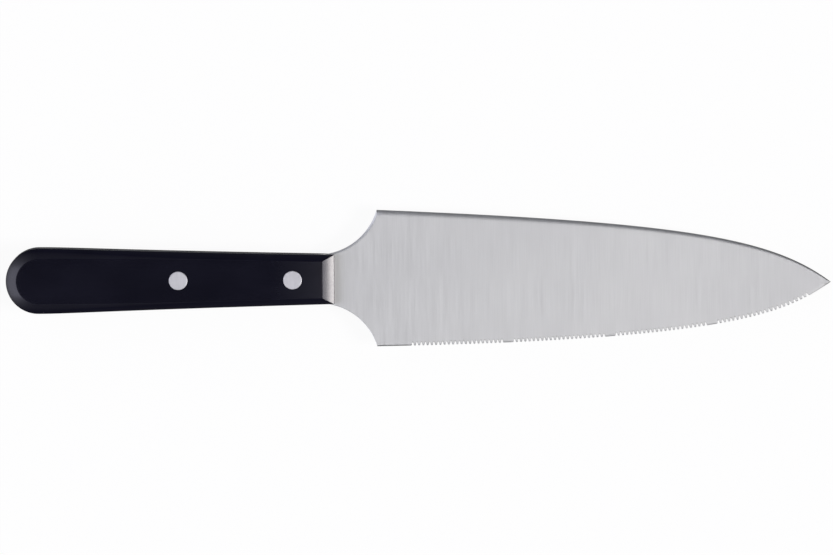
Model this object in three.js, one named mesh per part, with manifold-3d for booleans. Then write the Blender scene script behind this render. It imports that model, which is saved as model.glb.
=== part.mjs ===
// Cake server: a flat steel blade with a serrated edge and a full tang, held between two plastic
// handle scales by two flush rivets. Millimetres, +Z up.
// As drawn, X = 0 is the front of the scales, X runs along the handle's axis towards the tip,
// Y towards the spine, and Z = 0 is the middle of the blade. The right-hand side faces up.
import * as THREE from "three";
import { mergeVertices } from "three/addons/utils/BufferGeometryUtils.js";
import Module from "manifold-3d";

const wasm = await Module();
wasm.setup();

// Blade
const BLADE_THICKNESS = 1.8;
const BLADE_LENGTH = 160.1; // heel corners to tip
const HEEL_OFFSET = 15.3; // front of the scales to the heel corners
const SPINE_HEIGHT = 24.3; // spine above the axis at the heel
const EDGE_DROP = 23.95; // edge below the axis at the heel
const TIP_DROP = 2.05; // tip below the axis
const NECK_LEAD = 3.2; // the blade starts to widen this far behind the front of the scales
const NECK_HOLLOW = 3.65; // depth of the round hollow between handle and heel corner

// Each long side of the blade is one curve: its slopes in degrees, its pulls as shares of the length
const SPINE_HEEL_FALL = 2.66;
const SPINE_HEEL_PULL = 0.688;
const SPINE_TIP_FALL = 37.2;
const SPINE_TIP_PULL = 0.159;
const EDGE_HEEL_RISE = 0.77;
const EDGE_HEEL_PULL = 0.813;
const EDGE_TIP_RISE = 33.1;
const EDGE_TIP_PULL = 0.114;

// Serrations: groups of round gullets, with the teeth between them ending on the edge curve
const PLAIN_HEEL = 12.5; // heel corner to the middle of the first gullet
const PLAIN_TIP = 7.5; // stretch before the tip with no gullet
const TOOTH_PITCH = 1.5;
const TOOTH_TIP = 0.65; // width left between two gullets
const GULLET_DEPTH = 1.05;
const GULLETS_PER_GROUP = 22;
const GROUP_GAP = 4.5; // last gullet of a group to the first of the next

// The edge is ground from the left face only
const GRIND_WIDTH = 4;
const EDGE_THICKNESS = 0.6;
const GRIND_MARGIN = 1; // the grinding cut runs this far out past the edge

// Handle
const HANDLE_LENGTH = 115.5; // front of the scales to the butt
const FRONT_HALF_WIDTH = 8.65;
const BUTT_RADIUS = 11.52;
const SIDE_TAPER = 1.32; // slope of the sides at the front, in degrees
const SIDE_FRONT_PULL = 0.77; // shares of the side's length that bend it towards the butt
const SIDE_BUTT_PULL = 0.12;
const SCALE_THICKNESS = 5.3;
const SCALE_FLANK = 3.7; // upright part of a scale's sides

// The rounded bevel around a scale's outer face, its widths in plan
const FRONT_BEVEL = 4.2;
const SIDE_BEVEL = 2.3;
const BUTT_BEVEL = 3.5;
const FACE_FRONT_PULL = 0.25; // as the pulls of the sides, for the outline of the outer face
const FACE_BUTT_PULL = 0.45;
const BEVEL_START = 38; // the stretch of a quarter round that the bevel follows, in degrees
const BEVEL_END = 52;

// Rivets: a tube with its head on the left, and a pin with its head on the right
const FRONT_RIVET_SETBACK = 14.45; // behind the front of the scales
const REAR_RIVET_SETBACK = 54.7;
const RIVET_HEAD_RADIUS = 3.25;
const RIVET_HEAD_HEIGHT = 1.6;
const RIVET_TUBE_RADIUS = 2.3;
const RIVET_PIN_RADIUS = 1.35;
const RIVET_FIT = 0.05; // radial clearance of heads, tubes and pins
const RIVET_END_GAP = 0.5; // pin to the bottom of its tube, and tube to the pin's head

// Locating peg, moulded on the left scale and passing through the tang into the right scale
const PEG_SETBACK = 94.7;
const PEG_RADIUS = 2.5;
const PEG_REACH = 2.2; // into the right scale
const PEG_ROOT = 1; // into its own scale
const PEG_FIT = 0.1; // clearance around the peg and at its end

// How finely the round shapes are divided
const SPINE_STEPS = 40;
const NECK_STEPS = 10;
const GULLET_STEPS = 5;
const TIP_STEPS = 3;
const GRIND_STEPS = 24;
const SIDE_STEPS = 8;
const BUTT_STEPS = 24;
const BEVEL_STEPS = 4;
const ROUND_SIDES = 36;

// Places that follow from the sizes above
const HALF_BLADE = BLADE_THICKNESS / 2;
const HALF_HANDLE = HALF_BLADE + SCALE_THICKNESS;
const TIP_X = HEEL_OFFSET + BLADE_LENGTH;
const BUTT_CENTRE_X = BUTT_RADIUS - HANDLE_LENGTH;
const RIVET_SEAT = HALF_HANDLE - RIVET_HEAD_HEIGHT;
const RIVETS = { front: -FRONT_RIVET_SETBACK, rear: -REAR_RIVET_SETBACK };
const RIVET_HOLE_RADIUS = RIVET_TUBE_RADIUS + RIVET_FIT;
const PEG_HOLE_RADIUS = PEG_RADIUS + PEG_FIT;

const steel = new THREE.MeshStandardMaterial({ color: 0xc6c6c8, metalness: 1, roughness: 0.38 });
const plastic = new THREE.MeshStandardMaterial({ color: 0x15151d, metalness: 0, roughness: 0.42 });
const rivetSteel = new THREE.MeshStandardMaterial({ color: 0xc9c9cf, metalness: 1, roughness: 0.45 });

const at = (x, y) => new THREE.Vector2(x, y);
const radians = THREE.MathUtils.degToRad;
const lerp = THREE.MathUtils.lerp;

// The upper side of the handle from its front corner to the round butt, drawn in by a share of the bevel.
function handleSide(inset) {
  const front = at(-FRONT_BEVEL * inset, FRONT_HALF_WIDTH - SIDE_BEVEL * inset);
  const butt = at(BUTT_CENTRE_X, BUTT_RADIUS - BUTT_BEVEL * inset);
  const length = front.x - butt.x;
  const frontPull = length * lerp(SIDE_FRONT_PULL, FACE_FRONT_PULL, inset);
  const buttPull = length * lerp(SIDE_BUTT_PULL, FACE_BUTT_PULL, inset);
  const leaving = at(front.x - frontPull, front.y + frontPull * Math.tan(radians(SIDE_TAPER)));
  return new THREE.CubicBezierCurve(front, leaving, at(butt.x + buttPull, butt.y), butt);
}

// The whole outline, drawn in alike: front corner, side, butt, side, front corner.
function handleOutline(inset) {
  const side = handleSide(inset);
  const radius = side.v3.y;
  const upper = side.getPoints(SIDE_STEPS);
  const lower = upper.map((p) => at(p.x, -p.y)).reverse();
  const butt = new THREE.EllipseCurve(BUTT_CENTRE_X, 0, radius, radius, Math.PI / 2, 1.5 * Math.PI);
  return [...upper, ...butt.getPoints(BUTT_STEPS).slice(1, -1), ...lower];
}

// A long side of the blade from its heel corner to the tip, at its slopes in degrees.
function bladeCurve(heelY, heelSlope, heelPull, tipSlope, tipPull) {
  const heel = at(HEEL_OFFSET, heelY);
  const tip = at(TIP_X, -TIP_DROP);
  const pulled = (from, slope, pull) =>
    at(BLADE_LENGTH * pull, 0).rotateAround(at(0, 0), radians(slope)).add(from);
  return new THREE.CubicBezierCurve(
    heel,
    pulled(heel, heelSlope, heelPull),
    pulled(tip, tipSlope, -tipPull),
    tip,
  );
}

const spine = bladeCurve(SPINE_HEIGHT, -SPINE_HEEL_FALL, SPINE_HEEL_PULL, -SPINE_TIP_FALL, SPINE_TIP_PULL);
const edge = bladeCurve(-EDGE_DROP, EDGE_HEEL_RISE, EDGE_HEEL_PULL, EDGE_TIP_RISE, EDGE_TIP_PULL);

// The parameter at which a curve that runs along X, forwards or backwards, passes a given X.
function parameterAt(curve, x) {
  const way = Math.sign(curve.v3.x - curve.v0.x);
  let low = 0;
  let high = 1;
  while (high - low > 1e-7) {
    const middle = (low + high) / 2;
    if (way * (curve.getPoint(middle).x - x) < 0) low = middle;
    else high = middle;
  }
  return low;
}

// The round hollow between a heel corner and the side of the handle, as a curve with its ends.
function neckCurve(start, end, hollow) {
  const chord = end.clone().sub(start);
  const radius = (chord.lengthSq() / 4 + hollow * hollow) / (2 * hollow);
  const middle = start.clone().add(end).multiplyScalar(0.5);
  const outward = at(chord.y, -chord.x).normalize();
  const centre = middle.addScaledVector(outward, radius - hollow);
  const from = start.clone().sub(centre).angle();
  const to = end.clone().sub(centre).angle();
  return new THREE.EllipseCurve(centre.x, centre.y, radius, radius, from, to, true);
}

// The middles of the gullets along X, group after group up to the plain tip.
function gulletMiddles() {
  const middles = [];
  let x = HEEL_OFFSET + PLAIN_HEEL;
  while (x <= TIP_X - PLAIN_TIP) {
    middles.push(x);
    x += middles.length % GULLETS_PER_GROUP ? TOOTH_PITCH : GROUP_GAP;
  }
  return middles;
}

// One gullet: half an ellipse standing square on the edge.
function gulletPoints(x) {
  const t = parameterAt(edge, x);
  const { x: cx, y: cy } = edge.getPoint(t);
  const slope = edge.getTangent(t).angle();
  const halfWidth = (TOOTH_PITCH - TOOTH_TIP) / 2;
  const arch = new THREE.EllipseCurve(cx, cy, halfWidth, GULLET_DEPTH, Math.PI, 0, true, slope);
  return arch.getPoints(GULLET_STEPS);
}

// The plain end of the edge, closing in on the tip but short of it.
function plainTipPoints() {
  const points = [];
  for (let step = 1; step <= TIP_STEPS; step++) {
    const left = 1 - step / (TIP_STEPS + 1);
    points.push(edge.getPoint(parameterAt(edge, TIP_X - PLAIN_TIP * left * left)));
  }
  return points;
}

// Blade and tang in one outline, round from the edge's heel corner.
function bladeOutline() {
  const handle = handleOutline(0).slice(1, -1);
  const side = handleSide(0);
  const lead = side.getPoint(parameterAt(side, -NECK_LEAD));
  const upperNeck = neckCurve(spine.v0, lead, NECK_HOLLOW);
  const lowerNeck = neckCurve(at(lead.x, -lead.y), edge.v0, NECK_HOLLOW);
  return [
    ...lowerNeck.getPoints(NECK_STEPS),
    ...gulletMiddles().flatMap(gulletPoints),
    ...plainTipPoints(),
    ...spine.getPoints(SPINE_STEPS).reverse().slice(0, -1),
    ...upperNeck.getPoints(NECK_STEPS),
    ...handle,
  ];
}

// A closed skin over rings of equal length: each ring turns anticlockwise, seen from the last one.
function loft(rings, capOf) {
  const count = rings[0].length;
  const index = [];
  for (let low = 0; low < (rings.length - 1) * count; low += count) {
    for (let i = 0; i < count; i++) {
      const [a, b] = [low + i, low + ((i + 1) % count)];
      index.push(a, b, b + count, a, b + count, a + count);
    }
  }
  const last = (rings.length - 1) * count;
  capOf(rings[0]).forEach(([a, b, c]) => index.push(a, c, b));
  capOf(rings.at(-1)).forEach(([a, b, c]) => index.push(last + a, last + b, last + c));
  return new THREE.BufferGeometry().setFromPoints(rings.flat()).setIndex(index);
}

// A closed geometry as a solid that can be cut and joined, and back again.
function solid(geometry) {
  const bare = geometry.deleteAttribute("normal").deleteAttribute("uv");
  const merged = mergeVertices(bare, 1e-4);
  const vertProperties = merged.getAttribute("position").array;
  const triVerts = new Uint32Array(merged.index.array);
  return new wasm.Manifold(new wasm.Mesh({ numProp: 3, vertProperties, triVerts }));
}

function geometryOf(made) {
  const { vertProperties, triVerts } = made.getMesh();
  const geometry = new THREE.BufferGeometry();
  geometry.setAttribute("position", new THREE.BufferAttribute(vertProperties, 3));
  geometry.setIndex(new THREE.BufferAttribute(triVerts, 1));
  geometry.computeVertexNormals();
  return geometry;
}

// An upright round bar at X on the handle's axis, between two heights.
function bar(x, radius, bottom, top) {
  const geometry = new THREE.CylinderGeometry(radius, radius, top - bottom, ROUND_SIDES);
  return solid(geometry.rotateX(Math.PI / 2).translate(x, 0, (bottom + top) / 2));
}

// The wedge that the grinding takes off the left face along the edge.
function grinding() {
  const stations = Array.from({ length: GRIND_STEPS + 1 }, (_, i) => {
    const t = i / GRIND_STEPS;
    return { place: edge.getPoint(t), along: edge.getTangent(t) };
  });
  const runOut = ({ place, along }, way) => ({
    place: place.clone().addScaledVector(along, way * GRIND_WIDTH),
    along,
  });
  stations.unshift(runOut(stations[0], -1));
  stations.push(runOut(stations.at(-1), 1));
  const slope = (BLADE_THICKNESS - EDGE_THICKNESS) / GRIND_WIDTH;
  const rings = stations.map(({ place, along }) => {
    const inward = (distance, z) =>
      new THREE.Vector3(place.x - along.y * distance, place.y + along.x * distance, z);
    return [
      inward(GRIND_WIDTH, -HALF_BLADE),
      inward(-GRIND_MARGIN, -HALF_BLADE + slope * (GRIND_WIDTH + GRIND_MARGIN)),
      inward(-GRIND_MARGIN, -HALF_BLADE - GRIND_MARGIN),
    ];
  });
  return solid(loft(rings, () => [[0, 1, 2]]));
}

function makeBlade() {
  const shape = new THREE.Shape(bladeOutline());
  const hole = (x, radius) => shape.holes.push(new THREE.Path().absarc(x, 0, radius, 0, 2 * Math.PI));
  Object.values(RIVETS).forEach((x) => hole(x, RIVET_HOLE_RADIUS));
  hole(-PEG_SETBACK, PEG_HOLE_RADIUS);
  const plate = new THREE.ExtrudeGeometry(shape, {
    depth: BLADE_THICKNESS,
    bevelEnabled: false,
    curveSegments: ROUND_SIDES / 2,
  });
  return geometryOf(solid(plate.translate(0, 0, -HALF_BLADE)).subtract(grinding()));
}

// A scale as it lies on the upper face of the tang, with its stepped rivet holes.
function bareScale() {
  const ring = (inset, z) => handleOutline(inset).map((p) => new THREE.Vector3(p.x, p.y, z));
  const flankTop = HALF_BLADE + SCALE_FLANK;
  const rings = [ring(0, HALF_BLADE), ring(0, flankTop)];
  const [start, end] = [radians(BEVEL_START), radians(BEVEL_END)];
  for (let step = 1; step <= BEVEL_STEPS; step++) {
    const angle = lerp(start, end, step / BEVEL_STEPS);
    const inset = (Math.cos(start) - Math.cos(angle)) / (Math.cos(start) - Math.cos(end));
    const rise = (Math.sin(angle) - Math.sin(start)) / (Math.sin(end) - Math.sin(start));
    rings.push(ring(inset, lerp(flankTop, HALF_HANDLE, rise)));
  }
  const body = solid(loft(rings, (cap) => THREE.ShapeUtils.triangulateShape(cap, [])));
  const cuts = Object.values(RIVETS).flatMap((x) => [
    bar(x, RIVET_HOLE_RADIUS, 0, HALF_HANDLE),
    bar(x, RIVET_HEAD_RADIUS + RIVET_FIT, RIVET_SEAT, HALF_HANDLE + RIVET_HEAD_HEIGHT),
  ]);
  return cuts.reduce((left, cut) => left.subtract(cut), body);
}

function makeRightScale() {
  const socket = bar(-PEG_SETBACK, PEG_HOLE_RADIUS, 0, HALF_BLADE + PEG_REACH + PEG_FIT);
  return geometryOf(bareScale().subtract(socket));
}

// The left scale is the same shape turned over, with the peg standing on its inner face.
function makeLeftScale() {
  const peg = bar(-PEG_SETBACK, PEG_RADIUS, -HALF_BLADE - PEG_REACH, HALF_BLADE + PEG_ROOT);
  return geometryOf(bareScale().add(peg)).rotateX(Math.PI);
}

// Rivet halves, turned about the rivet's own axis. Profiles run from the bottom up.
const TUBE_FLOOR = -RIVET_SEAT;
const TUBE_END = RIVET_SEAT - RIVET_END_GAP;

function turned(profile) {
  const points = profile.map(([radius, z]) => at(radius, z));
  return new THREE.LatheGeometry(points, ROUND_SIDES).rotateX(Math.PI / 2);
}

function makeRivetTube() {
  const bore = RIVET_PIN_RADIUS + RIVET_FIT;
  return turned([
    [0, -HALF_HANDLE],
    [RIVET_HEAD_RADIUS, -HALF_HANDLE],
    [RIVET_HEAD_RADIUS, -RIVET_SEAT],
    [RIVET_TUBE_RADIUS, -RIVET_SEAT],
    [RIVET_TUBE_RADIUS, TUBE_END],
    [bore, TUBE_END],
    [bore, TUBE_FLOOR],
    [0, TUBE_FLOOR],
  ]);
}

function makeRivetPin() {
  return turned([
    [0, TUBE_FLOOR + RIVET_END_GAP],
    [RIVET_PIN_RADIUS, TUBE_FLOOR + RIVET_END_GAP],
    [RIVET_PIN_RADIUS, RIVET_SEAT],
    [RIVET_HEAD_RADIUS, RIVET_SEAT],
    [RIVET_HEAD_RADIUS, HALF_HANDLE],
    [0, HALF_HANDLE],
  ]);
}

// The assembly, moved so that the origin lies under the middle of its box, on the left scale's face
const assembly = new THREE.Group();
assembly.position.set((HANDLE_LENGTH - TIP_X) / 2, (EDGE_DROP - SPINE_HEIGHT) / 2, HALF_HANDLE);

function add(name, geometry, material, x = 0) {
  const mesh = new THREE.Mesh(geometry, material);
  mesh.name = name;
  mesh.position.x = x;
  assembly.add(mesh);
}

add("blade", makeBlade(), steel);
add("right_scale", makeRightScale(), plastic);
add("left_scale", makeLeftScale(), plastic);
for (const [place, x] of Object.entries(RIVETS)) {
  add(`${place}_rivet_tube`, makeRivetTube(), rivetSteel, x);
  add(`${place}_rivet_pin`, makeRivetPin(), rivetSteel, x);
}

const cakeServer = new THREE.Group();
cakeServer.name = "cake_server";
cakeServer.add(assembly);

export default cakeServer;
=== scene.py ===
"""A cake server in a small studio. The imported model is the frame, and the looks are built around it.

Sizes are in millimetres and angles in degrees, as the server is drawn: X = 0 is the front of the handle
scales and runs to the tip, Y runs to the spine, and Z = 0 is the middle of the blade's thickness.
"""

import math

import bmesh
import bpy
from mathutils import Matrix, Vector
from mathutils.geometry import interpolate_bezier


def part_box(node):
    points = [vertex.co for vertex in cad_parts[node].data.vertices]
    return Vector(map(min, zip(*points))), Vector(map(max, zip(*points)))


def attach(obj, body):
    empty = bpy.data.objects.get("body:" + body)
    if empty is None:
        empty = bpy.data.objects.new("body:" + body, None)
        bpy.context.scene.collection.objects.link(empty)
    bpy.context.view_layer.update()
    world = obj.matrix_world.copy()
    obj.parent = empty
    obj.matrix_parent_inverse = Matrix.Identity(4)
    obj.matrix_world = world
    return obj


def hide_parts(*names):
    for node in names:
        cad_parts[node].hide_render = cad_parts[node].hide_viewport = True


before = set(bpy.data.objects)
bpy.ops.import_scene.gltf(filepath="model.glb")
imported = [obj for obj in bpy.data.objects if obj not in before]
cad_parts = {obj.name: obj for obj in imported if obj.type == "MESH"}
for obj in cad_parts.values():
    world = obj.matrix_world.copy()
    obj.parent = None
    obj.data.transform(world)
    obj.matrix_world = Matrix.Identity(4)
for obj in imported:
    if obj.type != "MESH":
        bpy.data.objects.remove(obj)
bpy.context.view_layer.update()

MM = 0.001
scale_low, scale_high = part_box("right_scale")
blade_low, blade_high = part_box("blade")
ZERO = Vector((scale_high.x, (scale_low.y + scale_high.y) / 2, (blade_low.z + blade_high.z) / 2))

# Handle. The side's curve is pulled at its ends by shares of its length, at the bevel's foot and top
HANDLE_LENGTH = 115.5
FRONT_HALF_WIDTH = 8.65
BUTT_RADIUS = 11.52
BUTT_X = BUTT_RADIUS - HANDLE_LENGTH
SIDE_TAPER = 1.32
FRONT_PULLS = (0.77, 0.25)
BUTT_PULLS = (0.12, 0.45)
HALF_HANDLE = 6.2
FLANK_TOP = 4.45
FRONT_LEAD = 0.25
FRONT_BEVEL = 4.2
SIDE_BEVEL = 2.3
BUTT_BEVEL = 3.65
FACE_CROWN = 0.09
RIDGE_SHARE = 0.15

# Blade. Slopes hold the fall and the pull, a share of the length, at the heel and then at the tip
HALF_BLADE = 0.9
HEEL_X = 15.3
TIP_X = 175.4
SPINE_Y = 24.3
EDGE_Y = -23.95
TIP_Y = -2.05
SPINE_SLOPES = (2.66, 0.688, 37.2, 0.159)
EDGE_SLOPES = (-0.77, 0.813, -33.1, 0.114)
NECK_LEAD = 3.2
NECK_HOLLOW = 3.65
TANG_INSET = 0.15
TANG_EASE = 5
TANG_RADIUS = BUTT_RADIUS - TANG_INSET

# Teeth and the grinding behind them
FIRST_GULLET = 27.8
LAST_GULLET = TIP_X - 7.5
TOOTH_PITCH = 1.5
GULLETS_PER_GROUP = 22
GROUP_GAP = 4.5
GULLET_DEPTH = 1.05
GULLET_WEDGE = (0.85, 1.2)
GULLET_ROOT = 0.16
GULLET_LEAN = 20
RUN_OUT = 0.4
RUN_OUT_BAR = (0.3, 0.4)
RUN_OUT_LEAN = 65
GRIND_WIDTH = 4
EDGE_THICKNESS = 0.6

# Rivets and peg
RIVETS = {"front": -14.45, "rear": -54.7}
HEAD_RADIUS = 3.25
HEAD_HEIGHT = 1.6
HEAD_SEAT = HALF_HANDLE - HEAD_HEIGHT
RIM_INSET = 0.3
RIM_BREAK = 0.025
RIM_SEGMENTS = 2
TUBE_RADIUS = 2.3
PIN_RADIUS = 1.35
RIVET_FIT = 0.05
RIVET_END_GAP = 0.5
PEG_X = -94.7
PEG_RADIUS = 2.5
PEG_REACH = 2.2
PEG_FIT = 0.1
PEG_ROOT = 1

# How far tools go past the blade and the handle, and what counts as one place or direction
PAST_BLADE = 3
PAST_HANDLE = 8
MERGE_GAP = 0.002
SLIVER = 0.001
SAME_HEIGHT = 0.01
SAME_WAY = 0.9


def put(x, y, z):
    """A point of the drawing in the part's frame, in metres."""
    return Vector((x, y, z)) * MM + ZERO


def lerp(a, b, share):
    """A value that is a share of the way from one to another."""
    return a + (b - a) * share


# Modelling by hand: objects, rings and selections

ROUND_SIDES = 96
GRAIN_SCALE = 10
GRAIN_SHIFT = Vector((2, 2))


def clear_selection():
    """Leaves edit mode, with nothing selected."""
    if bpy.context.object and bpy.context.object.mode == "EDIT":
        bpy.ops.object.mode_set(mode="OBJECT")
    bpy.ops.object.select_all(action="DESELECT")


def take(piece):
    """Makes a piece the only one that is selected."""
    clear_selection()
    bpy.context.view_layer.objects.active = piece
    piece.select_set(True)


def named(name):
    """The object that was just added, under its name."""
    piece = bpy.context.object
    piece.name = name
    piece.data.name = name
    return piece


def edit(piece):
    """Opens a piece in edit mode, with nothing in it selected."""
    take(piece)
    bpy.ops.object.mode_set(mode="EDIT")
    bpy.ops.mesh.select_all(action="DESELECT")


def select_faces(piece, wanted):
    """Selects the faces whose normal passes a test, in edit mode."""
    bpy.ops.mesh.select_all(action="DESELECT")
    bpy.ops.mesh.select_mode(type="FACE")
    mesh = bmesh.from_edit_mesh(piece.data)
    for face in mesh.faces:
        face.select_set(wanted(face.normal))
    bmesh.update_edit_mesh(piece.data)


def select_edges(piece, wanted):
    """Selects the edges whose two ends pass a test, in edit mode."""
    bpy.ops.mesh.select_all(action="DESELECT")
    bpy.ops.mesh.select_mode(type="EDGE")
    mesh = bmesh.from_edit_mesh(piece.data)
    for edge in mesh.edges:
        edge.select_set(all(wanted(v.co) for v in edge.verts))
    bmesh.update_edit_mesh(piece.data)


def tidy_skin():
    """Merges what meets and turns every face outwards, then leaves edit mode."""
    bpy.ops.mesh.select_all(action="SELECT")
    bpy.ops.mesh.remove_doubles(threshold=MERGE_GAP * MM)
    bpy.ops.mesh.dissolve_degenerate(threshold=SLIVER * MM)
    bpy.ops.mesh.normals_make_consistent(inside=False)
    bpy.ops.object.mode_set(mode="OBJECT")


def lay_ring(piece, points):
    """Moves the newest ring of vertices onto the points of a section."""
    mesh = bmesh.from_edit_mesh(piece.data)
    mesh.verts.ensure_lookup_table()
    for vertex, point in zip(mesh.verts[-len(points):], points):
        vertex.co = put(*point)
    bmesh.update_edit_mesh(piece.data)


def drawn_through(name, sections):
    """A solid drawn through sections: a circle laid on the first one and extruded to each of the next."""
    clear_selection()
    bpy.ops.mesh.primitive_circle_add(vertices=len(sections[0]))
    piece = named(name)
    bpy.ops.object.mode_set(mode="EDIT")
    bpy.ops.mesh.select_all(action="SELECT")
    lay_ring(piece, sections[0])
    bpy.ops.mesh.edge_face_add()
    bpy.ops.mesh.select_mode(type="EDGE")
    for section in sections[1:]:
        bpy.ops.mesh.extrude_edges_move()
        lay_ring(piece, section)
    bpy.ops.mesh.edge_face_add()
    tidy_skin()
    return piece


def upright_bar(name, x, radius, bottom, top):
    """A round bar on the handle's axis, used as a tool or as the start of a piece."""
    clear_selection()
    middle = put(x, 0, (bottom + top) / 2)
    bpy.ops.mesh.primitive_cylinder_add(
        vertices=ROUND_SIDES, radius=radius * MM, depth=(top - bottom) * MM, location=middle
    )
    return named(name)


def combine(piece, tool, operation):
    """Cuts a piece with a tool or joins the tool to it, and takes the tool away."""
    take(piece)
    change = piece.modifiers.new(tool.name, "BOOLEAN")
    change.operation = operation
    change.solver = "MANIFOLD"
    change.object = tool
    bpy.ops.object.modifier_apply(modifier=change.name)
    bpy.data.objects.remove(tool)


def lay_out_across(piece):
    """A flat UV map, so that the grain has a direction."""
    layer = piece.data.uv_layers.new(name="grain")
    for loop in piece.data.loops:
        place = piece.data.vertices[loop.vertex_index].co
        layer.data[loop.index].uv = place.xy * GRAIN_SCALE + GRAIN_SHIFT


def finish_piece(piece, node, material, crease=30):
    """Shades a piece, gives it its material and ties it to the frame."""
    take(piece)
    bpy.ops.object.transform_apply(location=True, rotation=True, scale=True)
    bpy.ops.object.shade_smooth_by_angle(angle=math.radians(crease))
    piece.data.materials.clear()
    piece.data.materials.append(material)
    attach(piece, "root")
    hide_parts(node)


# Outlines of the handle and the blade

SIDE_STEPS = 28
BUTT_STEPS = 72
HALVINGS = 40
SLOPE_STEP = 0.02


def bezier_at(knots, t):
    """A point of a Bezier curve with four knots."""
    a, b, c, d = knots
    s = 1 - t
    return a * s**3 + b * (3 * s * s * t) + c * (3 * s * t * t) + d * t**3


def height_at(knots, x):
    """Y where a curve that runs along X passes a given X."""
    low, high = 0.0, 1.0
    forwards = knots[3].x > knots[0].x
    for _ in range(HALVINGS):
        middle = (low + high) / 2
        if (bezier_at(knots, middle).x < x) == forwards:
            low = middle
        else:
            high = middle
    return bezier_at(knots, low).y


def slope_at(knots, x):
    """Angle of a curve at a given X, in radians."""
    rise = height_at(knots, x + SLOPE_STEP) - height_at(knots, x - SLOPE_STEP)
    return math.atan2(rise, 2 * SLOPE_STEP)


def handle_side(inset):
    """The upper side of the handle as a curve, drawn in by a share of the bevel."""
    front_x = lerp(FRONT_LEAD, -FRONT_BEVEL, inset)
    front = Vector((front_x, FRONT_HALF_WIDTH - SIDE_BEVEL * inset))
    butt = Vector((BUTT_X, BUTT_RADIUS - BUTT_BEVEL * inset))
    length = front.x - butt.x
    front_pull = length * lerp(*FRONT_PULLS, min(inset, 1))
    butt_pull = length * lerp(*BUTT_PULLS, min(inset, 1))
    leaving = front + Vector((-front_pull, front_pull * math.tan(math.radians(SIDE_TAPER))))
    return front, leaving, butt + Vector((butt_pull, 0)), butt


def handle_outline(inset):
    """The whole outline of the handle: front corner, side, butt, side, front corner."""
    knots = handle_side(inset)
    upper = [Vector(point) for point in interpolate_bezier(*knots, SIDE_STEPS + 1)]
    centre, radius = knots[3].x, knots[3].y
    turn = [math.pi * (0.5 + step / BUTT_STEPS) for step in range(1, BUTT_STEPS)]
    butt = [Vector((centre + radius * math.cos(a), radius * math.sin(a))) for a in turn]
    lower = [Vector((point.x, -point.y)) for point in reversed(upper)]
    return upper + butt + lower


def blade_side(heel_y, heel_fall, heel_pull, tip_fall, tip_pull):
    """A long side of the blade as one curve from its heel corner to the tip."""
    length = TIP_X - HEEL_X
    heel, tip = Vector((HEEL_X, heel_y)), Vector((TIP_X, TIP_Y))

    def along(fall, pull):
        angle = math.radians(-fall)
        return Vector((math.cos(angle), math.sin(angle))) * pull * length

    return heel, heel + along(heel_fall, heel_pull), tip - along(tip_fall, tip_pull), tip


SPINE = blade_side(SPINE_Y, *SPINE_SLOPES)
EDGE = blade_side(EDGE_Y, *EDGE_SLOPES)
TANG = handle_side(0)


def neck_height(x, corner_y):
    """The round hollow between the side of the handle and a heel corner."""
    start = Vector((HEEL_X, abs(corner_y)))
    end = Vector((-NECK_LEAD, height_at(TANG, -NECK_LEAD)))
    chord = end - start
    radius = (chord.length_squared / 4 + NECK_HOLLOW**2) / (2 * NECK_HOLLOW)
    outward = Vector((chord.y, -chord.x)).normalized()
    centre = (start + end) / 2 + outward * (radius - NECK_HOLLOW)
    return centre.y - math.sqrt(radius**2 - (x - centre.x) ** 2)


def blade_reach(x):
    """How far blade or tang reach up and down at a given X."""
    if x >= TIP_X:
        return TIP_Y, TIP_Y
    if x >= HEEL_X:
        return height_at(SPINE, x), height_at(EDGE, x)
    if x > -NECK_LEAD:
        return neck_height(x, SPINE_Y), -neck_height(x, EDGE_Y)
    if x > BUTT_X:
        half = height_at(TANG, x) - TANG_INSET * min(1, (-NECK_LEAD - x) / TANG_EASE)
        return half, -half
    beyond = min(TANG_RADIUS, BUTT_X - x)
    half = math.sqrt(TANG_RADIUS**2 - beyond**2)
    return half, -half


# The blade. A buffed shoulder has a width and a drop, which grow along the neck and shrink to the tip

SPINE_SHOULDER = (2.1, 0.25)
UPPER_NECK_SHOULDER = (1.0, 0.1)
LOWER_NECK_SHOULDER = (0.3, 0.03)
HEEL_SHOULDER = (0.5, 0.1)
EDGE_SHOULDER = (1.1, 0.08)
TANG_SHOULDER = (0.05, 0.01)
TIP_SHARES = (0.3, 0.4)
NECK_EASE = 7
SHOULDER_STEPS = 6
SIDE_BREAK = 0.06
FACE_MARGIN = 0.35

# The most of the blade's width that a shoulder, and a broken edge, may take
SHOULDER_ROOM = 0.3
BREAK_ROOM = 0.1

# How many sections each stretch is drawn through, and how they crowd to the heel and the tip
BUTT_SECTIONS = 24
TANG_SECTIONS = 20
NECK_SECTIONS = 36
BLADE_SECTIONS = 110
HEEL_CROWDING = 1.5
TIP_CROWDING = 1.3

GRIND_SECTIONS = 60
GRIND_OVERSHOOT = 1
GRIND_TIP_GAP = 0.05
GRIND_LEAD = 6
TOOTH_TOOL_LENGTH = 8
WEDGE_SIDES = 3
ROOT_SEGMENTS = 4
RUN_OUT_SIDES = 24


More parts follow.
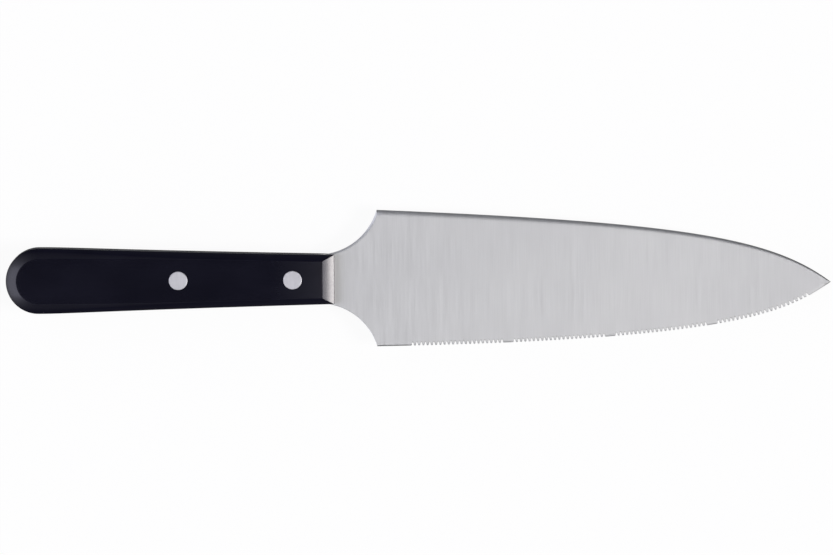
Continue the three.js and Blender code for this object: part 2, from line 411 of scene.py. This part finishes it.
def shoulders(x):
    """Width and drop of the rounding along the upper and the lower side of the blade."""
    top, bottom = blade_reach(x)
    if x >= HEEL_X:
        room = (top - bottom) / (SPINE_Y - EDGE_Y)
        spine = [size * lerp(share, 1, room) for size, share in zip(SPINE_SHOULDER, TIP_SHARES)]
        edge = EDGE_SHOULDER if x > FIRST_GULLET else HEEL_SHOULDER
    elif x > -NECK_LEAD:
        near = max(0.0, (x - HEEL_X + NECK_EASE) / NECK_EASE)
        spine = [lerp(neck, full, near) for neck, full in zip(UPPER_NECK_SHOULDER, SPINE_SHOULDER)]
        edge = LOWER_NECK_SHOULDER
    else:
        spine = edge = TANG_SHOULDER
    most = SHOULDER_ROOM * (top - bottom)
    return [[min(size, most) for size in shoulder] for shoulder in (spine, edge)]


def rounding(reach, width, drop, way, most):
    """From the flat face down a buffed shoulder and over the broken edge, as pairs of Y and height."""
    turn = min(SIDE_BREAK, most)
    points = []
    for step in range(SHOULDER_STEPS + 1):
        share = step / SHOULDER_STEPS
        inset = lerp(width + turn, turn, share)
        points.append((reach - way * inset, HALF_BLADE - drop * share**2))
    for angle in (30, 60, 90):
        a = math.radians(angle)
        inset = turn * (1 - math.sin(a))
        points.append((reach - way * inset, HALF_BLADE - drop - turn * (1 - math.cos(a))))
    return points


def blade_section(x):
    """A ring around the blade at X: over the spine, along the far face, under the edge and back."""
    top, bottom = blade_reach(x)
    spine, edge = shoulders(x)
    most = BREAK_ROOM * (top - bottom)
    margin = min(FACE_MARGIN, most)
    over = rounding(top, *spine, 1, most)
    under = rounding(bottom, *edge, -1, most)
    over.insert(0, (over[0][0] - margin, HALF_BLADE))
    under.insert(0, (under[0][0] + margin, HALF_BLADE))
    ring = over + [(y, -z) for y, z in reversed(over)]
    ring += [(y, -z) for y, z in under] + list(reversed(under))
    return [(x, y, z) for y, z in ring]


def blade_stations():
    """X of the sections, closest together where the outline turns quickly."""
    turns = [math.pi / 2 * step / BUTT_SECTIONS for step in range(BUTT_SECTIONS + 1)]
    places = [BUTT_X - TANG_RADIUS * math.cos(turn) for turn in turns]
    for step in range(1, TANG_SECTIONS + 1):
        places.append(lerp(BUTT_X, -NECK_LEAD, step / TANG_SECTIONS))
    for step in range(1, NECK_SECTIONS + 1):
        left = (1 - step / NECK_SECTIONS) ** HEEL_CROWDING
        places.append(HEEL_X - (HEEL_X + NECK_LEAD) * left)
    for step in range(1, BLADE_SECTIONS + 1):
        left = (1 - step / BLADE_SECTIONS) ** TIP_CROWDING
        places.append(TIP_X - (TIP_X - HEEL_X) * left)
    return places


def grinding_section(x):
    """The wedge that the grinding takes off the far face, square to the edge."""
    slope = slope_at(EDGE, x)
    foot = Vector((x, height_at(EDGE, x)))
    inward = Vector((-math.sin(slope), math.cos(slope)))
    fall = (2 * HALF_BLADE - EDGE_THICKNESS) / GRIND_WIDTH
    deepest = fall * (GRIND_WIDTH + GRIND_OVERSHOOT)
    profile = [(GRIND_WIDTH, 0), (-GRIND_OVERSHOOT, deepest), (-GRIND_OVERSHOOT, -GRIND_OVERSHOOT)]
    return [(*(foot + inward * away), rise - HALF_BLADE) for away, rise in profile]


def grinding_tool():
    """A long wedge along the edge, drawn on past the heel and the tip."""
    last = TIP_X - GRIND_TIP_GAP
    stations = [lerp(HEEL_X, last, step / GRIND_SECTIONS) for step in range(GRIND_SECTIONS + 1)]
    rings = [grinding_section(x) for x in stations]
    before = Vector(rings[0][0]) - Vector(rings[1][0])
    after = Vector(rings[-1][0]) - Vector(rings[-2][0])
    lead_in = [Vector(point) + before.normalized() * GRIND_LEAD for point in rings[0]]
    lead_out = [Vector(point) + after.normalized() * GRIND_LEAD for point in rings[-1]]
    return drawn_through("grinding", [lead_in] + rings + [lead_out])


def gullet_places():
    """X of every gullet, in groups with plain steel between them."""
    places, x = [], FIRST_GULLET
    while x <= LAST_GULLET:
        places.append(x)
        x += TOOTH_PITCH if len(places) % GULLETS_PER_GROUP else GROUP_GAP
    return places


def tooth_tool(name, sides, half_sizes):
    """An upright bar in millimetres, stretched to its half sizes and left open in edit mode."""
    clear_selection()
    bpy.ops.mesh.primitive_cylinder_add(vertices=sides, radius=1, depth=TOOTH_TOOL_LENGTH)
    bar = named(name)
    edit(bar)
    bpy.ops.mesh.select_all(action="SELECT")
    bpy.ops.transform.resize(value=(*half_sizes, 1), center_override=(0, 0, 0))
    return bar


def copied_along_edge(bar, lean, inward, lift):
    """Leans a bar, moves it in from the edge and up, and copies it to each gullet."""
    bpy.ops.object.mode_set(mode="OBJECT")
    stance = Matrix.Translation((0, inward, lift)) @ Matrix.Rotation(math.radians(lean), 4, "X")
    start = bmesh.new()
    start.from_mesh(bar.data)
    row = bmesh.new()
    for x in gullet_places():
        place = Matrix.Translation(put(x, height_at(EDGE, x), HALF_BLADE))
        turn = Matrix.Rotation(slope_at(EDGE, x), 4, "Z")
        copy = start.copy()
        copy.transform(place @ turn @ Matrix.Scale(MM, 4) @ stance)
        copy.to_mesh(bar.data)
        copy.free()
        row.from_mesh(bar.data)
    row.to_mesh(bar.data)
    start.free()
    row.free()
    return bar


def gullet_tool():
    """Wedges with a round root, which lean back under the face."""
    wedge = tooth_tool("gullets", WEDGE_SIDES, GULLET_WEDGE)
    select_edges(wedge, lambda point: point.y > 0)
    bpy.ops.mesh.bevel(offset=GULLET_ROOT, segments=ROOT_SEGMENTS, affect="EDGES")
    return copied_along_edge(wedge, GULLET_LEAN, 0, 0)


def run_out_tool():
    """Round bars that lie low over the face and leave a small hollow in it above each gullet."""
    bar = tooth_tool("run_outs", RUN_OUT_SIDES, RUN_OUT_BAR)
    lean = math.radians(RUN_OUT_LEAN)
    half_height = RUN_OUT_BAR[1]
    inward = GULLET_DEPTH + RUN_OUT - half_height * math.cos(lean)
    return copied_along_edge(bar, -RUN_OUT_LEAN, inward, half_height * math.sin(lean))


def make_blade(material):
    """The blade with its tang, its ground edge, its teeth and its holes."""
    blade = drawn_through("server_blade", [blade_section(x) for x in blade_stations()])
    combine(blade, grinding_tool(), "DIFFERENCE")
    combine(blade, gullet_tool(), "DIFFERENCE")
    combine(blade, run_out_tool(), "DIFFERENCE")
    holes = [(x, TUBE_RADIUS + RIVET_FIT) for x in RIVETS.values()] + [(PEG_X, PEG_RADIUS + PEG_FIT)]
    for x, radius in holes:
        combine(blade, upright_bar("hole", x, radius, -PAST_BLADE, PAST_BLADE), "DIFFERENCE")
    lay_out_across(blade)
    finish_piece(blade, "blade", material, crease=20)


# The handle scales. The bevel's section is a short stretch of an arc, between two angles

BEVEL_START = math.radians(38)
BEVEL_END = math.radians(52)
ARC_STEPS = 40
ARC_STRIDE = 4
FACE_STEPS = 8
TURN_STEPS = 4
FOOT_TURN = 0.1


def soft_turn(before, corner, after):
    """A corner of a profile rounded off between two points."""
    shares = [step / TURN_STEPS for step in range(TURN_STEPS + 1)]
    return [before.lerp(corner, t).lerp(corner.lerp(after, t), t) for t in shares]


def bevel_profile():
    """Share of the bevel and height, from the tang over the bevel to the faintly crowned face."""
    rise_all = math.sin(BEVEL_END) - math.sin(BEVEL_START)
    run_all = math.cos(BEVEL_START) - math.cos(BEVEL_END)
    arc = []
    for step in range(ARC_STEPS + 1):
        angle = lerp(BEVEL_START, BEVEL_END, step / ARC_STEPS)
        run = (math.cos(BEVEL_START) - math.cos(angle)) / run_all
        rise = (math.sin(angle) - math.sin(BEVEL_START)) / rise_all
        arc.append(Vector((run, lerp(FLANK_TOP, HALF_HANDLE - FACE_CROWN, rise))))
    face = []
    for step in range(FACE_STEPS + 1):
        away = lerp(RIDGE_SHARE, 1, step / FACE_STEPS)
        face.append(Vector((1 + away, HALF_HANDLE - FACE_CROWN * (1 - away) ** 2)))
    foot = soft_turn(Vector((0, FLANK_TOP - FOOT_TURN)), arc[0], arc[1])
    ridge = soft_turn(arc[-2], arc[-1], face[0])
    slope = arc[ARC_STRIDE:-ARC_STRIDE:ARC_STRIDE]
    return [Vector((0, HALF_BLADE))] + foot + slope + ridge + face[1:]


def bare_scale(name):
    """A scale for the right side, with its holes and seats for the rivets."""
    sections = []
    for inset, height in bevel_profile():
        sections.append([(point.x, point.y, height) for point in handle_outline(inset)])
    scale = drawn_through(name, sections)
    for x in RIVETS.values():
        hole = upright_bar("hole", x, TUBE_RADIUS + RIVET_FIT, 0, PAST_HANDLE)
        combine(scale, hole, "DIFFERENCE")
        seat = upright_bar("seat", x, HEAD_RADIUS + RIVET_FIT, HEAD_SEAT, PAST_HANDLE)
        combine(scale, seat, "DIFFERENCE")
    return scale


def turned_over(piece, name):
    """A copy of a piece, turned to the other side of the blade."""
    take(piece)
    bpy.ops.object.duplicate()
    other = named(name)
    edit(other)
    bpy.ops.mesh.select_all(action="SELECT")
    bpy.ops.transform.rotate(value=math.pi, orient_axis="X", center_override=ZERO)
    bpy.ops.object.mode_set(mode="OBJECT")
    return other


def make_scales(material):
    """Both handle scales. The left one has the peg, and the right one its socket."""
    right = bare_scale("handle_scale_right")
    left = turned_over(right, "handle_scale_left")
    peg_top = HALF_BLADE + PEG_REACH
    combine(left, upright_bar("peg", PEG_X, PEG_RADIUS, -HALF_BLADE - PEG_ROOT, peg_top), "UNION")
    socket = upright_bar("socket", PEG_X, PEG_RADIUS + PEG_FIT, 0, peg_top + PEG_FIT)
    combine(right, socket, "DIFFERENCE")
    finish_piece(right, "right_scale", material)
    finish_piece(left, "left_scale", material)


# The rivets


def rivet_head(name, x, bottom, top, outer_way):
    """A flat head with a finely broken rim, its inner face left selected."""
    head = upright_bar(name, x, HEAD_RADIUS, bottom, top)
    bpy.ops.object.transform_apply(location=True)
    edit(head)
    select_faces(head, lambda normal: normal.z * outer_way > SAME_WAY)
    bpy.ops.mesh.inset(thickness=RIM_INSET * MM)
    middle = put(x, 0, top if outer_way > 0 else bottom)

    def on_rim(point):
        away = point - middle
        level = abs(away.z) < SAME_HEIGHT * MM
        return level and away.xy.length > (HEAD_RADIUS - RIM_INSET / 2) * MM

    select_edges(head, on_rim)
    bpy.ops.mesh.bevel(offset=RIM_BREAK * MM, segments=RIM_SEGMENTS, affect="EDGES")
    select_faces(head, lambda normal: normal.z * outer_way < -SAME_WAY)
    return head


def draw_shank(away_from_axis, length):
    """Insets the selected face and pulls the smaller face in the middle out, or in."""
    bpy.ops.mesh.inset(thickness=away_from_axis * MM)
    bpy.ops.mesh.extrude_region_move(TRANSFORM_OT_translate={"value": (0, 0, length * MM)})


def finish_rivet(half, node, material):
    """Closes one half of a rivet and gives it its grain and finish."""
    tidy_skin()
    lay_out_across(half)
    finish_piece(half, node, material)


def make_rivets(material):
    """Two rivets, each a pin under its near head and a tube under its far head."""
    shank = 2 * HEAD_SEAT - RIVET_END_GAP
    for place, x in RIVETS.items():
        pin = rivet_head(f"{place}_rivet_head", x, HEAD_SEAT, HALF_HANDLE, 1)
        draw_shank(HEAD_RADIUS - PIN_RADIUS, -shank)
        finish_rivet(pin, f"{place}_rivet_pin", material)
        tube = rivet_head(f"{place}_rivet_far_head", x, -HALF_HANDLE, -HEAD_SEAT, -1)
        draw_shank(HEAD_RADIUS - TUBE_RADIUS, shank)
        draw_shank(TUBE_RADIUS - PIN_RADIUS - RIVET_FIT, -shank)
        finish_rivet(tube, f"{place}_rivet_tube", material)


# Finishes. A pair is the two ends of a pattern. Reaches and heights are in metres, and a turn is a sine

BLADE_STEEL = ((0.595, 0.61, 0.588), (0.642, 0.658, 0.635))
BLADE_BANDS = ((0.985, 0.985, 0.985), (1, 1, 1))
BLADE_PATCHES = ((0.965, 0.965, 0.97), (1, 1, 1))
# Painted shade: the blade's colour darkens by about 8% towards the tip, standing in for its shine falling
# off there
BLADE_TIP_PAINTED_SHADE = ((1, 1, 1), (0.92, 0.92, 0.925))
BLADE_TIP_PAINTED_SHADE_REACH = (0.125, 0.165)
BLADE_ROUGHNESS = (0.307, 0.333)
BLADE_BAND_ROUGHNESS = (0, 0.01)
RIVET_STEEL = ((0.593, 0.60, 0.605), (0.657, 0.665, 0.67))
RIVET_PATCHES = ((0.94, 0.94, 0.95), (1, 1, 1))
RIVET_ROUGHNESS = (0.31, 0.34)
STEEL_SPREAD = 0.85
STEEL_RELIEF = 0.12
SCALE_BLACK = ((0.0017, 0.0017, 0.007), (0.0033, 0.0033, 0.0102))
SCALE_ROUGHNESS = (0.225, 0.25)
SCALE_CLOUD_ROUGHNESS = (0, 0.02)
SCALE_SIDE_ROUGHNESS = (0, 0.3)
SCALE_FRONT_ROUGHNESS = (0.15, 0)
SCALE_SIDE_GLOSS = (0.5, 0.06)
SCALE_SIDE_TURN = (0.2, 0.45)
SCALE_FRONT_REACH = (0.0045, 0.022)
SCALE_FACE_HEIGHT = (0.0060, 0.0061)
SCALE_IOR = 1.58
SCALE_RELIEF = 0.1
RELIEF_DEPTH = 0.00001
NOISE_MIDDLE = (0.3, 0.7)


def new_finish(name):
    """An empty material, with its nodes and its shader."""
    material = bpy.data.materials.new(name)
    material.use_nodes = True
    return material, material.node_tree, material.node_tree.nodes["Principled BSDF"]


def feed(tree, node, inputs):
    """Links each input of a node to the output that feeds it, or sets it to a plain value."""
    for name, value in inputs.items():
        if isinstance(value, bpy.types.NodeSocket):
            tree.links.new(value, node.inputs[name])
        else:
            node.inputs[name].default_value = value


def stretched_noise(tree, stretch, scale, detail, roughness=0.5):
    """Noise on the piece's own coordinates, drawn out along the axes with a small stretch."""
    place = tree.nodes.new("ShaderNodeTexCoord")
    mapping = tree.nodes.new("ShaderNodeMapping")
    noise = tree.nodes.new("ShaderNodeTexNoise")
    feed(tree, mapping, {"Vector": place.outputs["Object"], "Scale": stretch})
    feed(tree, noise, {"Vector": mapping.outputs["Vector"], "Scale": scale})
    feed(tree, noise, {"Detail": detail, "Roughness": roughness})
    return noise.outputs["Fac"]


def spread(tree, value, ends, reach=NOISE_MIDDLE):
    """A number between two ends, while a value crosses its reach."""
    node = tree.nodes.new("ShaderNodeMapRange")
    feed(tree, node, {"Value": value, "From Min": reach[0], "From Max": reach[1]})
    feed(tree, node, {"To Min": ends[0], "To Max": ends[1]})
    return node.outputs["Result"]


def tint(tree, value, colours, reach=NOISE_MIDDLE):
    """A colour between two colours, while a value crosses its reach."""
    node = tree.nodes.new("ShaderNodeValToRGB")
    for stop, position, colour in zip(node.color_ramp.elements, reach, colours):
        stop.position = position
        stop.color = (*colour, 1)
    feed(tree, node, {"Fac": value})
    return node.outputs["Color"]


def shaded(tree, colour, shade):
    """One colour multiplied by another."""
    node = tree.nodes.new("ShaderNodeMix")
    node.data_type = "RGBA"
    node.blend_type = "MULTIPLY"
    feed(tree, node, {"Factor": 1, "A": colour, "B": shade})
    return node.outputs["Result"]


def worked_out(tree, operation, *values):
    """A sum, product or other result of one or two values."""
    node = tree.nodes.new("ShaderNodeMath")
    node.operation = operation
    feed(tree, node, dict(enumerate(values)))
    return node.outputs["Value"]


def own_axis(tree, source, axis):
    """One axis of the place or the normal, in the piece's own coordinates."""
    place = tree.nodes.new("ShaderNodeTexCoord")
    parts = tree.nodes.new("ShaderNodeSeparateXYZ")
    feed(tree, parts, {"Vector": place.outputs[source]})
    return parts.outputs[axis]


def away_from(tree, axis, zero):
    """Distance along one of the piece's own axes from a place on it."""
    gap = worked_out(tree, "SUBTRACT", own_axis(tree, "Object", axis), zero)
    return worked_out(tree, "ABSOLUTE", gap)


def raised(tree, height, strength):
    """A very fine relief."""
    node = tree.nodes.new("ShaderNodeBump")
    feed(tree, node, {"Height": height, "Strength": strength, "Distance": RELIEF_DEPTH})
    return node.outputs["Normal"]


def along_grain(tree):
    """The direction that lets the shine spread square to the grinding lines."""
    node = tree.nodes.new("ShaderNodeTangent")
    node.direction_type = "UV_MAP"
    node.uv_map = "grain"
    return node.outputs["Tangent"]


def feed_steel(tree, shader, colour, rough, lines):
    """What the ground steels share."""
    relief = raised(tree, lines, STEEL_RELIEF)
    feed(tree, shader, {"Base Color": colour, "Roughness": rough, "Normal": relief})
    feed(tree, shader, {"Metallic": 1, "Anisotropic": STEEL_SPREAD, "Tangent": along_grain(tree)})


def ground_steel():
    """Satin steel, ground across the blade in fine straight lines, with painted shade that darkens it
    towards the tip.
    """
    material, tree, shader = new_finish("ground_steel")
    lines = stretched_noise(tree, stretch=(1, 0.012, 1), scale=5200, detail=5, roughness=0.6)
    broad = stretched_noise(tree, stretch=(1, 0.03, 1), scale=700, detail=3)
    clouds = stretched_noise(tree, stretch=(1, 1, 1), scale=45, detail=3)
    along = away_from(tree, "X", ZERO.x)
    colour = shaded(tree, tint(tree, lines, BLADE_STEEL), tint(tree, broad, BLADE_BANDS))
    colour = shaded(tree, colour, tint(tree, clouds, BLADE_PATCHES))
    # Painted shade: the steel's colour is darkened towards the tip
    colour = shaded(tree, colour, tint(tree, along, BLADE_TIP_PAINTED_SHADE, BLADE_TIP_PAINTED_SHADE_REACH))
    rough = spread(tree, lines, BLADE_ROUGHNESS)
    rough = worked_out(tree, "ADD", rough, spread(tree, broad, BLADE_BAND_ROUGHNESS))
    feed_steel(tree, shader, colour, rough, lines)
    return material


def rivet_steel():
    """Satin steel of the rivets, ground flush with the scales."""
    material, tree, shader = new_finish("rivet_steel")
    lines = stretched_noise(tree, stretch=(1, 0.03, 1), scale=6000, detail=4, roughness=0.6)
    clouds = stretched_noise(tree, stretch=(1, 1, 1), scale=500, detail=3)
    colour = shaded(tree, tint(tree, lines, RIVET_STEEL), tint(tree, clouds, RIVET_PATCHES))
    feed_steel(tree, shader, colour, spread(tree, lines, RIVET_ROUGHNESS), lines)
    return material


def black_plastic():
    """Satin black moulded plastic with a blue cast, buffed along the handle and duller on its sides."""
    material, tree, shader = new_finish("black_plastic")
    grain = stretched_noise(tree, stretch=(1, 1, 1), scale=6500, detail=3)
    buffing = stretched_noise(tree, stretch=(0.02, 1, 1), scale=2600, detail=4, roughness=0.6)
    clouds = stretched_noise(tree, stretch=(0.5, 1, 1), scale=90, detail=3)
    sideways = worked_out(tree, "ABSOLUTE", own_axis(tree, "Normal", "Y"))
    near_front = spread(tree, away_from(tree, "X", ZERO.x), SCALE_FRONT_ROUGHNESS, SCALE_FRONT_REACH)
    on_face = spread(tree, away_from(tree, "Z", ZERO.z), (0, 1), SCALE_FACE_HEIGHT)
    rough = spread(tree, buffing, SCALE_ROUGHNESS)
    rough = worked_out(tree, "ADD", rough, spread(tree, clouds, SCALE_CLOUD_ROUGHNESS))
    rough = worked_out(tree, "ADD", rough, spread(tree, sideways, SCALE_SIDE_ROUGHNESS, SCALE_SIDE_TURN))
    rough = worked_out(tree, "ADD", rough, worked_out(tree, "MULTIPLY", near_front, on_face))
    relief = raised(tree, worked_out(tree, "ADD", grain, buffing), SCALE_RELIEF)
    gloss = spread(tree, sideways, SCALE_SIDE_GLOSS, SCALE_SIDE_TURN)
    feed(tree, shader, {"Base Color": tint(tree, clouds, SCALE_BLACK), "Roughness": rough})
    feed(tree, shader, {"Normal": relief, "Specular IOR Level": gloss, "IOR": SCALE_IOR})
    return material


# The studio. Wall levels pair the height of the view, as a sine, with how light it is there

FLOOR_SIZE = 12
FLOOR_GAP = 0.00005
FLOOR_GLOW = 0.93
FLOOR_WHITE = (0.95, 0.95, 0.95, 1)
WALL_LEVELS = ((0, 0.85), (0.2, 0.75), (0.5, 0.32), (0.78, 0.04))
WARM_WHITE = (1, 0.955, 0.95)
COOL_WHITE = (0.88, 0.86, 1)
BLUE_WHITE = (0.82, 0.82, 1)

CAMERA_TILT = -4
CAMERA_ROLL = -0.338
CAMERA_LENS = 300
CAMERA_SENSOR = 36
CAMERA_REACH = 20
VIEW_MIDDLE = (29.24, 0.268, 0)
VIEW_WIDTH = 294


def make_floor():
    """A wide white floor that keeps the server's shadow. What looks at it sees it nearly white."""
    clear_selection()
    bpy.ops.mesh.primitive_plane_add(size=FLOOR_SIZE, location=(0, 0, -FLOOR_GAP))
    floor = named("floor")
    material = bpy.data.materials.new("white_paper")
    material.use_nodes = True
    tree = material.node_tree
    tree.nodes.clear()
    paper = tree.nodes.new("ShaderNodeBsdfDiffuse")
    glow = tree.nodes.new("ShaderNodeEmission")
    path = tree.nodes.new("ShaderNodeLightPath")
    mix = tree.nodes.new("ShaderNodeMixShader")
    out = tree.nodes.new("ShaderNodeOutputMaterial")
    seen = path.outputs["Is Camera Ray"]
    for other in ("Is Glossy Ray", "Is Transmission Ray"):
        seen = worked_out(tree, "MAXIMUM", seen, path.outputs[other])
    share = worked_out(tree, "MULTIPLY", seen, FLOOR_GLOW)
    feed(tree, paper, {"Color": FLOOR_WHITE})
    feed(tree, mix, {"Fac": share, 1: paper.outputs["BSDF"], 2: glow.outputs["Emission"]})
    feed(tree, out, {"Surface": mix.outputs["Shader"]})
    floor.data.materials.append(material)


def softbox(name, azimuth, elevation, distance, size, energy, colour, shape):
    """A soft light that faces the front of the handle, in metres. Azimuth 0 is the tip's side."""
    clear_selection()
    a, e = math.radians(azimuth), math.radians(elevation)
    away = Vector((math.cos(a) * math.cos(e), math.sin(a) * math.cos(e), math.sin(e)))
    bpy.ops.object.light_add(type="AREA", location=ZERO + away * distance)
    lamp = named(name)
    lamp.rotation_euler = away.to_track_quat("Z", "Y").to_euler()
    lamp.data.shape = shape
    lamp.data.size, lamp.data.size_y = size
    lamp.data.energy = energy
    lamp.data.color = colour


def make_lamps():
    """A softbox and a reflector off either end. The front bevel mirrors one pair, the butt the other."""
    softbox(
        "right_softbox", azimuth=-8, elevation=40, distance=7,
        size=(2.2, 2.05), energy=295, colour=WARM_WHITE, shape="RECTANGLE",
    )
    softbox(
        "right_reflector", azimuth=-8, elevation=57, distance=7,
        size=(3.23, 2.22), energy=51, colour=COOL_WHITE, shape="RECTANGLE",
    )
    softbox(
        "left_softbox", azimuth=188, elevation=47, distance=3,
        size=(2.8, 2.15), energy=15.5, colour=BLUE_WHITE, shape="ELLIPSE",
    )
    softbox(
        "left_reflector", azimuth=176, elevation=47, distance=3.1,
        size=(8, 2.15), energy=42, colour=BLUE_WHITE, shape="ELLIPSE",
    )


def make_walls():
    """Pale walls and a dark ceiling around the server."""
    world = bpy.context.scene.world or bpy.data.worlds.new("studio")
    bpy.context.scene.world = world
    world.use_nodes = True
    tree = world.node_tree
    place = tree.nodes.new("ShaderNodeTexCoord")
    parts = tree.nodes.new("ShaderNodeSeparateXYZ")
    ramp = tree.nodes.new("ShaderNodeValToRGB")
    stops = ramp.color_ramp.elements
    for position, _ in WALL_LEVELS[1:-1]:
        stops.new(position)
    for stop, (position, level) in zip(stops, WALL_LEVELS):
        stop.position = position
        stop.color = (level, level, level, 1)
    feed(tree, parts, {"Vector": place.outputs["Generated"]})
    feed(tree, ramp, {"Fac": parts.outputs["Z"]})
    feed(tree, tree.nodes["Background"], {"Color": ramp.outputs["Color"], "Strength": 1})


def make_camera():
    """Almost straight down from far off, leaning a little towards the spine."""
    tilt = Matrix.Rotation(math.radians(CAMERA_TILT), 4, "X")
    turn = tilt @ Matrix.Rotation(math.radians(CAMERA_ROLL), 4, "Z")
    away = turn @ Vector((0, 0, 1))
    distance = VIEW_WIDTH * MM * CAMERA_LENS / CAMERA_SENSOR
    clear_selection()
    bpy.ops.object.camera_add(location=put(*VIEW_MIDDLE) + away * distance)
    camera = named("camera")
    camera.rotation_euler = turn.to_euler()
    camera.data.lens = CAMERA_LENS
    camera.data.sensor_width = CAMERA_SENSOR
    camera.data.clip_end = CAMERA_REACH
    bpy.context.scene.camera = camera


make_blade(ground_steel())
make_scales(black_plastic())
make_rivets(rivet_steel())
make_floor()
make_lamps()
make_walls()
make_camera()
bpy.context.scene.view_settings.view_transform = "Standard"
